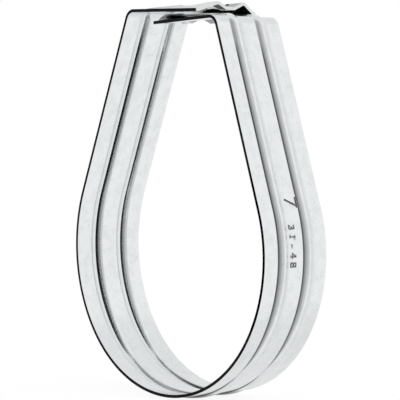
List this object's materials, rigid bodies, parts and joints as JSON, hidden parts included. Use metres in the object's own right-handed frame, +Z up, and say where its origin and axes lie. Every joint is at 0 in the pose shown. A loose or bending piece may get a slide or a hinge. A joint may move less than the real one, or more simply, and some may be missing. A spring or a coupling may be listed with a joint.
{
  "type": "sprinkler pipe clamp",
  "caption": "Pear-shaped sprinkler pipe hanger: one folded strip of galvanised sheet with pressed beads, its ends overlapping at the rod hole above the pipe seat.",
  "frame": {"origin": "centre of the pipe, on its axis, at the middle of the strip's width", "axes": "+Z up along the hanging rod, Y along the pipe, the limb with the upper flap on the -X side"},
  "size_m": [0.068, 0.02, 0.0942],
  "materials": {
    "galvanised_steel": "satin zinc coating with bare sheared edges"
  },
  "bodies": {
    "root": {"clamp_band": "galvanised_steel"}
  },
  "joints": []
}
